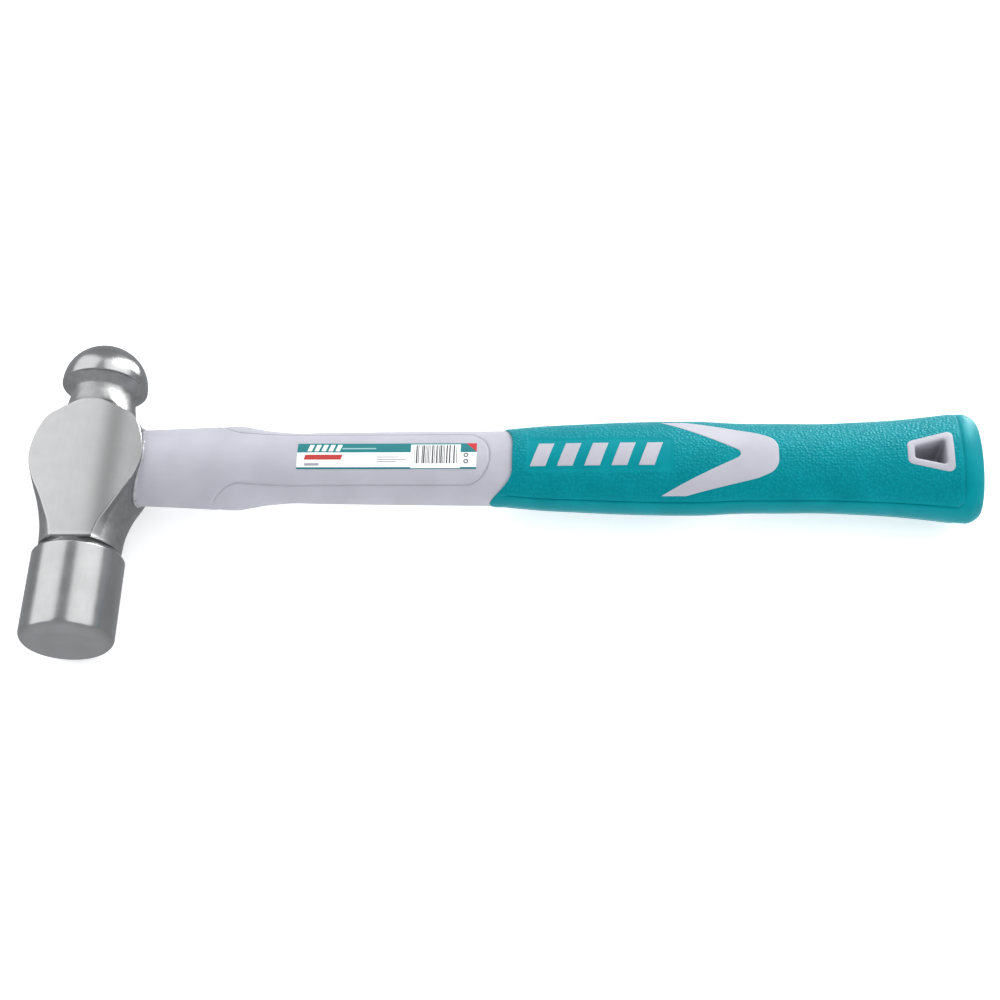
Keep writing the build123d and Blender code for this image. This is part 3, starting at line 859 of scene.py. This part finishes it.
def polypropyleneMoulded():
    # grey polypropylene, moulded: even satin skin with a very fine spark texture
    material, tree, shader, place = newMaterial("polypropyleneMoulded")
    cloud = add(tree, "TexNoise", {"Vector": place, "Scale": 1 / 14, "Detail": 2})
    colour = tinted(tree, cloud, 0.3, 0.7, linear(plastic["dark"]), linear(plastic["light"]))
    spark = add(tree, "TexNoise", {"Vector": place, "Scale": 1 / plastic["spark"], "Detail": 2,
                                   "Roughness": 0.6})
    rough = add(tree, "MapRange", {"Value": spark, "From Min": 0.3, "From Max": 0.7,
                                   "To Min": 0.36, "To Max": 0.5})
    normal = add(tree, "Bump", {"Height": spark, "Distance": 0.012 * mm, "Strength": 1})
    normal = add(tree, "Bump", {"Height": cloud, "Distance": 0.05 * mm, "Strength": 0.4, "Normal": normal})
    feed(tree, shader, {"IOR": plastic["ior"], "Base Color": colour, "Roughness": rough, "Normal": normal})
    return material


# the groove colour is painted shade for the grooves between the pebbles
rubber = {"dark": "007882", "light": "02828c", "groove": "00656f", "gloss": "50e4ec", "sheen": "b4fbff",
          "pebble": 1.25, "pebbleDepth": 0.18, "ior": 1.5}


def thermoplasticRubberPebbled():
    # teal thermoplastic rubber, moulded: satin where smooth, with a tinted gloss and sheen, and a skin
    # pebbled with beads of 1.25 mm on the side panels, with painted shade darkening the grooves between the
    # beads
    material, tree, shader, place = newMaterial("thermoplasticRubberPebbled")
    pebbled = add(tree, "Attribute", attribute_name="pebbled").node.outputs["Fac"]
    # the beads' places are shaken by a soft noise, so that their rows don't line up
    wobble = add(tree, "TexNoise", {"Vector": place, "Scale": 0.5, "Detail": 1}).node.outputs["Color"]
    shaken = add(tree, "VectorMath", {0: wobble, 1: (0.5,) * 3}, operation="SUBTRACT")
    shaken = add(tree, "VectorMath", {0: shaken, 1: (0.5,) * 3, 2: place}, operation="MULTIPLY_ADD")
    cell = add(tree, "TexVoronoi", {"Vector": shaken, "Scale": 1 / rubber["pebble"], "Smoothness": 0.35,
                                    "Randomness": 0.75}, feature="SMOOTH_F1")
    bead = add(tree, "MapRange", {"Value": cell, "From Min": 0.1, "From Max": 0.62, "To Min": 1, "To Max": 0})
    cloud = add(tree, "TexNoise", {"Vector": place, "Scale": 1 / 12, "Detail": 2})
    colour = tinted(tree, cloud, 0.3, 0.7, linear(rubber["dark"]), linear(rubber["light"]))
    # painted shade: the grooves between the beads are darkened towards the groove colour
    share = add(tree, "MapRange", {"Value": bead, "From Max": 0.5, "To Min": 0.3, "To Max": 0})
    share = add(tree, "Math", {0: share, 1: pebbled}, operation="MULTIPLY")
    colour = add(tree, "Mix", {0: share, 6: colour, 7: linear(rubber["groove"])}, data_type="RGBA")
    fine = add(tree, "TexNoise", {"Vector": place, "Scale": 1 / 0.3, "Detail": 2, "Roughness": 0.6})
    rough = add(tree, "MapRange", {"Value": fine, "From Min": 0.3, "From Max": 0.7,
                                   "To Min": 0.38, "To Max": 0.5})
    depth = rubber["pebbleDepth"] * mm
    normal = add(tree, "Bump", {"Height": bead, "Distance": depth, "Strength": pebbled})
    normal = add(tree, "Bump", {"Height": fine, "Distance": 0.01 * mm, "Strength": 1, "Normal": normal})
    feed(tree, shader, {"IOR": rubber["ior"], "Specular Tint": linear(rubber["gloss"]), "Sheen Weight": 1,
                        "Sheen Roughness": 0.24, "Sheen Tint": linear(rubber["sheen"]),
                        "Base Color": colour, "Roughness": rough, "Normal": normal})
    return material


epoxy = {"dark": "88888b", "light": "acacb0", "ior": 1.55}


def epoxyCast():
    # grey epoxy, cast: glossy, slightly cloudy, with a few small bubbles
    material, tree, shader, place = newMaterial("epoxyCast")
    cloud = add(tree, "TexNoise", {"Vector": place, "Scale": 1 / 2.5, "Detail": 3, "Roughness": 0.6})
    colour = tinted(tree, cloud, 0.35, 0.65, linear(epoxy["dark"]), linear(epoxy["light"]))
    rough = add(tree, "MapRange", {"Value": cloud, "From Min": 0.3, "From Max": 0.7,
                                   "To Min": 0.12, "To Max": 0.3})
    bubbles = add(tree, "TexVoronoi", {"Vector": place, "Scale": 0.7})
    dimple = add(tree, "MapRange", {"Value": bubbles, "From Max": 0.22})
    normal = add(tree, "Bump", {"Height": dimple, "Distance": 0.1 * mm, "Strength": 0.5})
    normal = add(tree, "Bump", {"Height": cloud, "Distance": 0.1 * mm, "Strength": 0.6, "Normal": normal})
    feed(tree, shader, {"IOR": epoxy["ior"], "Base Color": colour, "Roughness": rough, "Normal": normal})
    return material


fibre = {"dark": "c9c39a", "light": "e6e2c4", "ior": 1.55}


def fibreglassPultruded():
    # glass fibre and resin, pultruded: pale yellow-green with bundles 0.4 mm across and 16 mm long
    material, tree, shader, place = newMaterial("fibreglassPultruded")
    along = add(tree, "Mapping", {"Vector": place, "Scale": (1 / (0.4 * 40), 1 / 0.4, 1 / 0.4)})
    fibres = add(tree, "TexNoise", {"Vector": along, "Scale": 1, "Detail": 3, "Roughness": 0.6})
    colour = tinted(tree, fibres, 0.3, 0.7, linear(fibre["dark"]), linear(fibre["light"]))
    rough = add(tree, "MapRange", {"Value": fibres, "From Min": 0.3, "From Max": 0.7,
                                   "To Min": 0.3, "To Max": 0.5})
    normal = add(tree, "Bump", {"Height": fibres, "Distance": 0.03 * mm, "Strength": 0.6})
    feed(tree, shader, {"IOR": fibre["ior"], "Base Color": colour, "Roughness": rough, "Normal": normal})
    return material


ink = {"film": "eef0f0", "filmLight": "f8f9f9", "teal": "0d7277", "red": "b3312f", "white": "f2f4f4",
       "black": "3b3b3e", "corner": "b8232b", "grey": "9a9a9e", "lines": "8e8e93", "paleTeal": "8fb7ba",
       "barGrain": 1.7}


def printBlock(tree, x, y, low, high, lean=0.0):
    # 1 inside a leaning block of ink from low to high
    leaning = add(tree, "Math", {0: y, 1: -lean, 2: x}, operation="MULTIPLY_ADD")
    half = [(high[k] - low[k]) / 2 for k in (0, 1)]
    across = add(tree, "Math", {0: leaning, 1: low[0] + half[0], 2: half[0]}, operation="COMPARE")
    upright = add(tree, "Math", {0: y, 1: low[1] + half[1], 2: half[1]}, operation="COMPARE")
    return add(tree, "Math", {0: across, 1: upright}, operation="MULTIPLY")


def filmPrinted():
    # white polyester film, screen printed: a teal band, a red block and plain bars, under a satin varnish
    material, tree, shader, place = newMaterial("filmPrinted")
    split = add(tree, "SeparateXYZ", {"Vector": place}).node.outputs
    x, y = split["X"], split["Y"]
    left, right, half = label["start"], label["end"], label["half"]
    cloud = add(tree, "TexNoise", {"Vector": place, "Scale": 1 / 5, "Detail": 2})
    colour = tinted(tree, cloud, 0.3, 0.7, linear(ink["film"]), linear(ink["filmLight"]))
    # colour, low corner and high corner from the label's left end, lean
    blocks = [
        ("teal", (-1, 1.35), (right - left + 1, half + 1), 0),
        ("teal", (-1, -half - 1), (right - left + 1, 0.75 - half), 0),
        ("red", (3.4, -1.95), (18.8, 0.35), 0.3),
        ("white", (46.9, 0.3 - half), (67.3, 5.2), 0),
        ("grey", (3.2, -4.55), (9.2, -3.4), 0)]
    blocks += [("white", (3.6 + 2.9 * i, 1.95), (5.4 + 2.9 * i, 5.15), 0.3) for i in range(5)]
    blocks += [("lines", (33, low), (33 + width, low + 0.42), 0)
               for low, width in ((-1.0, 9), (-2.05, 12), (-3.1, 8))]
    blocks += [("paleTeal", (18.6, 2.95), (32.5, 3.55), 0)]
    for name, low, high, lean in blocks:
        share = printBlock(tree, x, y, (left + low[0], low[1]), (left + high[0], high[1]), lean)
        colour = add(tree, "Mix", {0: share, 6: colour, 7: linear(ink[name])}, data_type="RGBA")
    # plain upright bars of uneven width on the white field
    bars = add(tree, "TexNoise", {"W": x, "Scale": ink["barGrain"], "Detail": 0}, noise_dimensions="1D")
    bars = add(tree, "MapRange", {"Value": bars, "From Min": 0.48, "From Max": 0.51})
    field = printBlock(tree, x, y, (left + 48.4, -3.6), (left + 65.9, 4.9))
    share = add(tree, "Math", {0: field, 1: bars}, operation="MULTIPLY")
    colour = add(tree, "Mix", {0: share, 6: colour, 7: linear(ink["black"])}, data_type="RGBA")
    # a red corner, and two small rings
    share = add(tree, "Math", {0: x, 1: y}, operation="ADD")
    share = add(tree, "Math", {0: share, 1: right + half - 4.3}, operation="GREATER_THAN")
    colour = add(tree, "Mix", {0: share, 6: colour, 7: linear(ink["corner"])}, data_type="RGBA")
    for ringY in (0.1, -2.7):
        away = add(tree, "VectorMath", {0: place, 1: (left + 69.6, ringY, 0)}, operation="SUBTRACT")
        away = add(tree, "VectorMath", {0: away, 1: (1, 1, 0)}, operation="MULTIPLY")
        away = add(tree, "VectorMath", {0: away}, operation="LENGTH")
        share = add(tree, "Math", {0: away, 1: 0.75, 2: 0.25}, operation="COMPARE")
        colour = add(tree, "Mix", {0: share, 6: colour, 7: linear(ink["black"])}, data_type="RGBA")
    normal = add(tree, "Bump", {"Height": cloud, "Distance": 0.02 * mm, "Strength": 0.4})
    feed(tree, shader, {"IOR": 1.45, "Roughness": 0.5, "Base Color": colour, "Normal": normal})
    return material


def paperSweep():
    # matt white paper, faintly mottled, and lit a little from below
    material, tree, shader, place = newMaterial("paperSweep")
    cloud = add(tree, "TexNoise", {"Vector": place, "Scale": 1 / 60, "Detail": 2})
    colour = add(tree, "Mix", {0: cloud, 6: linear("f3f3f3"), 7: linear("f6f6f6")}, data_type="RGBA")
    feed(tree, shader, {"Roughness": 0.95, "Emission Color": linear("ffffff"), "Emission Strength": 0.45,
                        "Base Color": colour})
    return material


finishes = {
    "forged_steel": forgedSteelSatinGround(), "cast_resin": epoxyCast(), "glass_fibre": fibreglassPultruded(),
    "grey_plastic": polypropyleneMoulded(), "teal_rubber": thermoplasticRubberPebbled(),
    "label_film": filmPrinted(),
}
pieces = [
    (headPiece, "head", "forged_steel"), (resinPiece, "eye_resin", "cast_resin"),
    (jacketPiece, "handle_jacket", "grey_plastic"), (gripPiece, "rubber_grip", "teal_rubber"),
    (labelPiece, "paper_label", "label_film"),
]
for piece, node, finish in pieces:
    piece.data.materials.append(finishes[finish])
    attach(piece, "root")
    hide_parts(node)
coreMesh = frame["nodes"]["fibreglass_core"].data
coreMesh.materials.clear()
coreMesh.materials.append(finishes["glass_fibre"])
print("finishes given")


floorHalf = 5   # metres
corners = [(x * floorHalf, y * floorHalf, 0) for x, y in ((-1, -1), (1, -1), (1, 1), (-1, 1))]
floorPiece = bpy.data.objects.new("floor", bpy.data.meshes.new("floor"))
floorPiece.data.from_pydata(corners, [], [(0, 1, 2, 3)])
floorPiece.data.materials.append(paperSweep())
bpy.context.scene.collection.objects.link(floorPiece)
floorPiece.visible_glossy = False   # keeps the steel's sides from washing out


view = {"place": (213.4, -310.6, 596.8), "target": (171.8, -14.6, 0.0), "turn": 1.871, "lens": 58.68}


def aimed(place, target, turn=0):
    # a frame that looks from one point to another with +Y upwards, turned in degrees about its line of sight
    back = (place - target) / np.linalg.norm(place - target)
    right = np.cross((0, 1, 0), back)
    right /= np.linalg.norm(right)
    up = np.cross(back, right)
    c, s = math.cos(math.radians(turn)), math.sin(math.radians(turn))
    matrix = np.eye(4)
    matrix[:3] = np.stack([c * right + s * up, c * up - s * right, back, place], -1)
    return Matrix(matrix)


def makeCamera():
    # the view's points are in millimetres about the eye
    data = bpy.data.cameras.new("camera")
    data.lens, data.sensor_width = view["lens"], 36
    data.clip_start, data.clip_end = 0.01, 20
    camera = bpy.data.objects.new("camera", data)
    place, target = (eye + np.array(view[key]) * mm for key in ("place", "target"))
    camera.matrix_world = aimed(place, target, view["turn"])
    bpy.context.scene.collection.objects.link(camera)
    bpy.context.scene.camera = camera


makeCamera()


def softbox(name, place, aim, size, power):
    # a rectangular light, its place and the point it is aimed at in metres about the eye
    data = bpy.data.lights.new(name, "AREA")
    data.shape, data.size, data.size_y, data.energy = "RECTANGLE", size[0], size[1], power
    light = bpy.data.objects.new(name, data)
    light.matrix_world = aimed(eye + np.array(place), eye + np.array(aim))
    bpy.context.scene.collection.objects.link(light)
    return light


lights = {"glow": "e2e4e8", "backGlow": 0.56, "frontGlow": 0.92}


def makeWorld():
    # a pale glow from everywhere, stronger from the side of the striking face
    world = bpy.data.worlds.new("studio")
    bpy.context.scene.world = world
    world.use_nodes = True
    tree = world.node_tree
    towards = add(tree, "TexCoord").node.outputs["Generated"]
    towards = add(tree, "SeparateXYZ", {"Vector": towards}).node.outputs["Y"]
    strength = add(tree, "MapRange", {"Value": towards, "From Min": -0.9, "From Max": 0,
                                      "To Min": lights["frontGlow"], "To Max": lights["backGlow"]})
    feed(tree, tree.nodes["Background"], {"Color": linear(lights["glow"]), "Strength": strength})


makeWorld()
# two long softboxes with a narrow dark gap between them give the steel its upright bands
softbox("leftBox", (-0.814, 0.45, 0.74), (0, 0, 0), (1.38, 1.9), 11.5)
softbox("rightBox", (0.80, 0.45, 0.80), (0.05, 0, 0), (1.40, 1.9), 11.5)
softbox("backBox", (0.95, 1.3, 0.14), (0.3, 0, 0.03), (1.7, 0.5), 30)
front = softbox("frontBox", (0.9, -1.1, 0.12), (0.3, 0, 0), (1.6, 0.35), 9)
front.visible_glossy = False   # a fill that leaves no streak on the steel
bpy.context.scene.view_settings.view_transform = "Standard"
print("camera, floor and lights set")
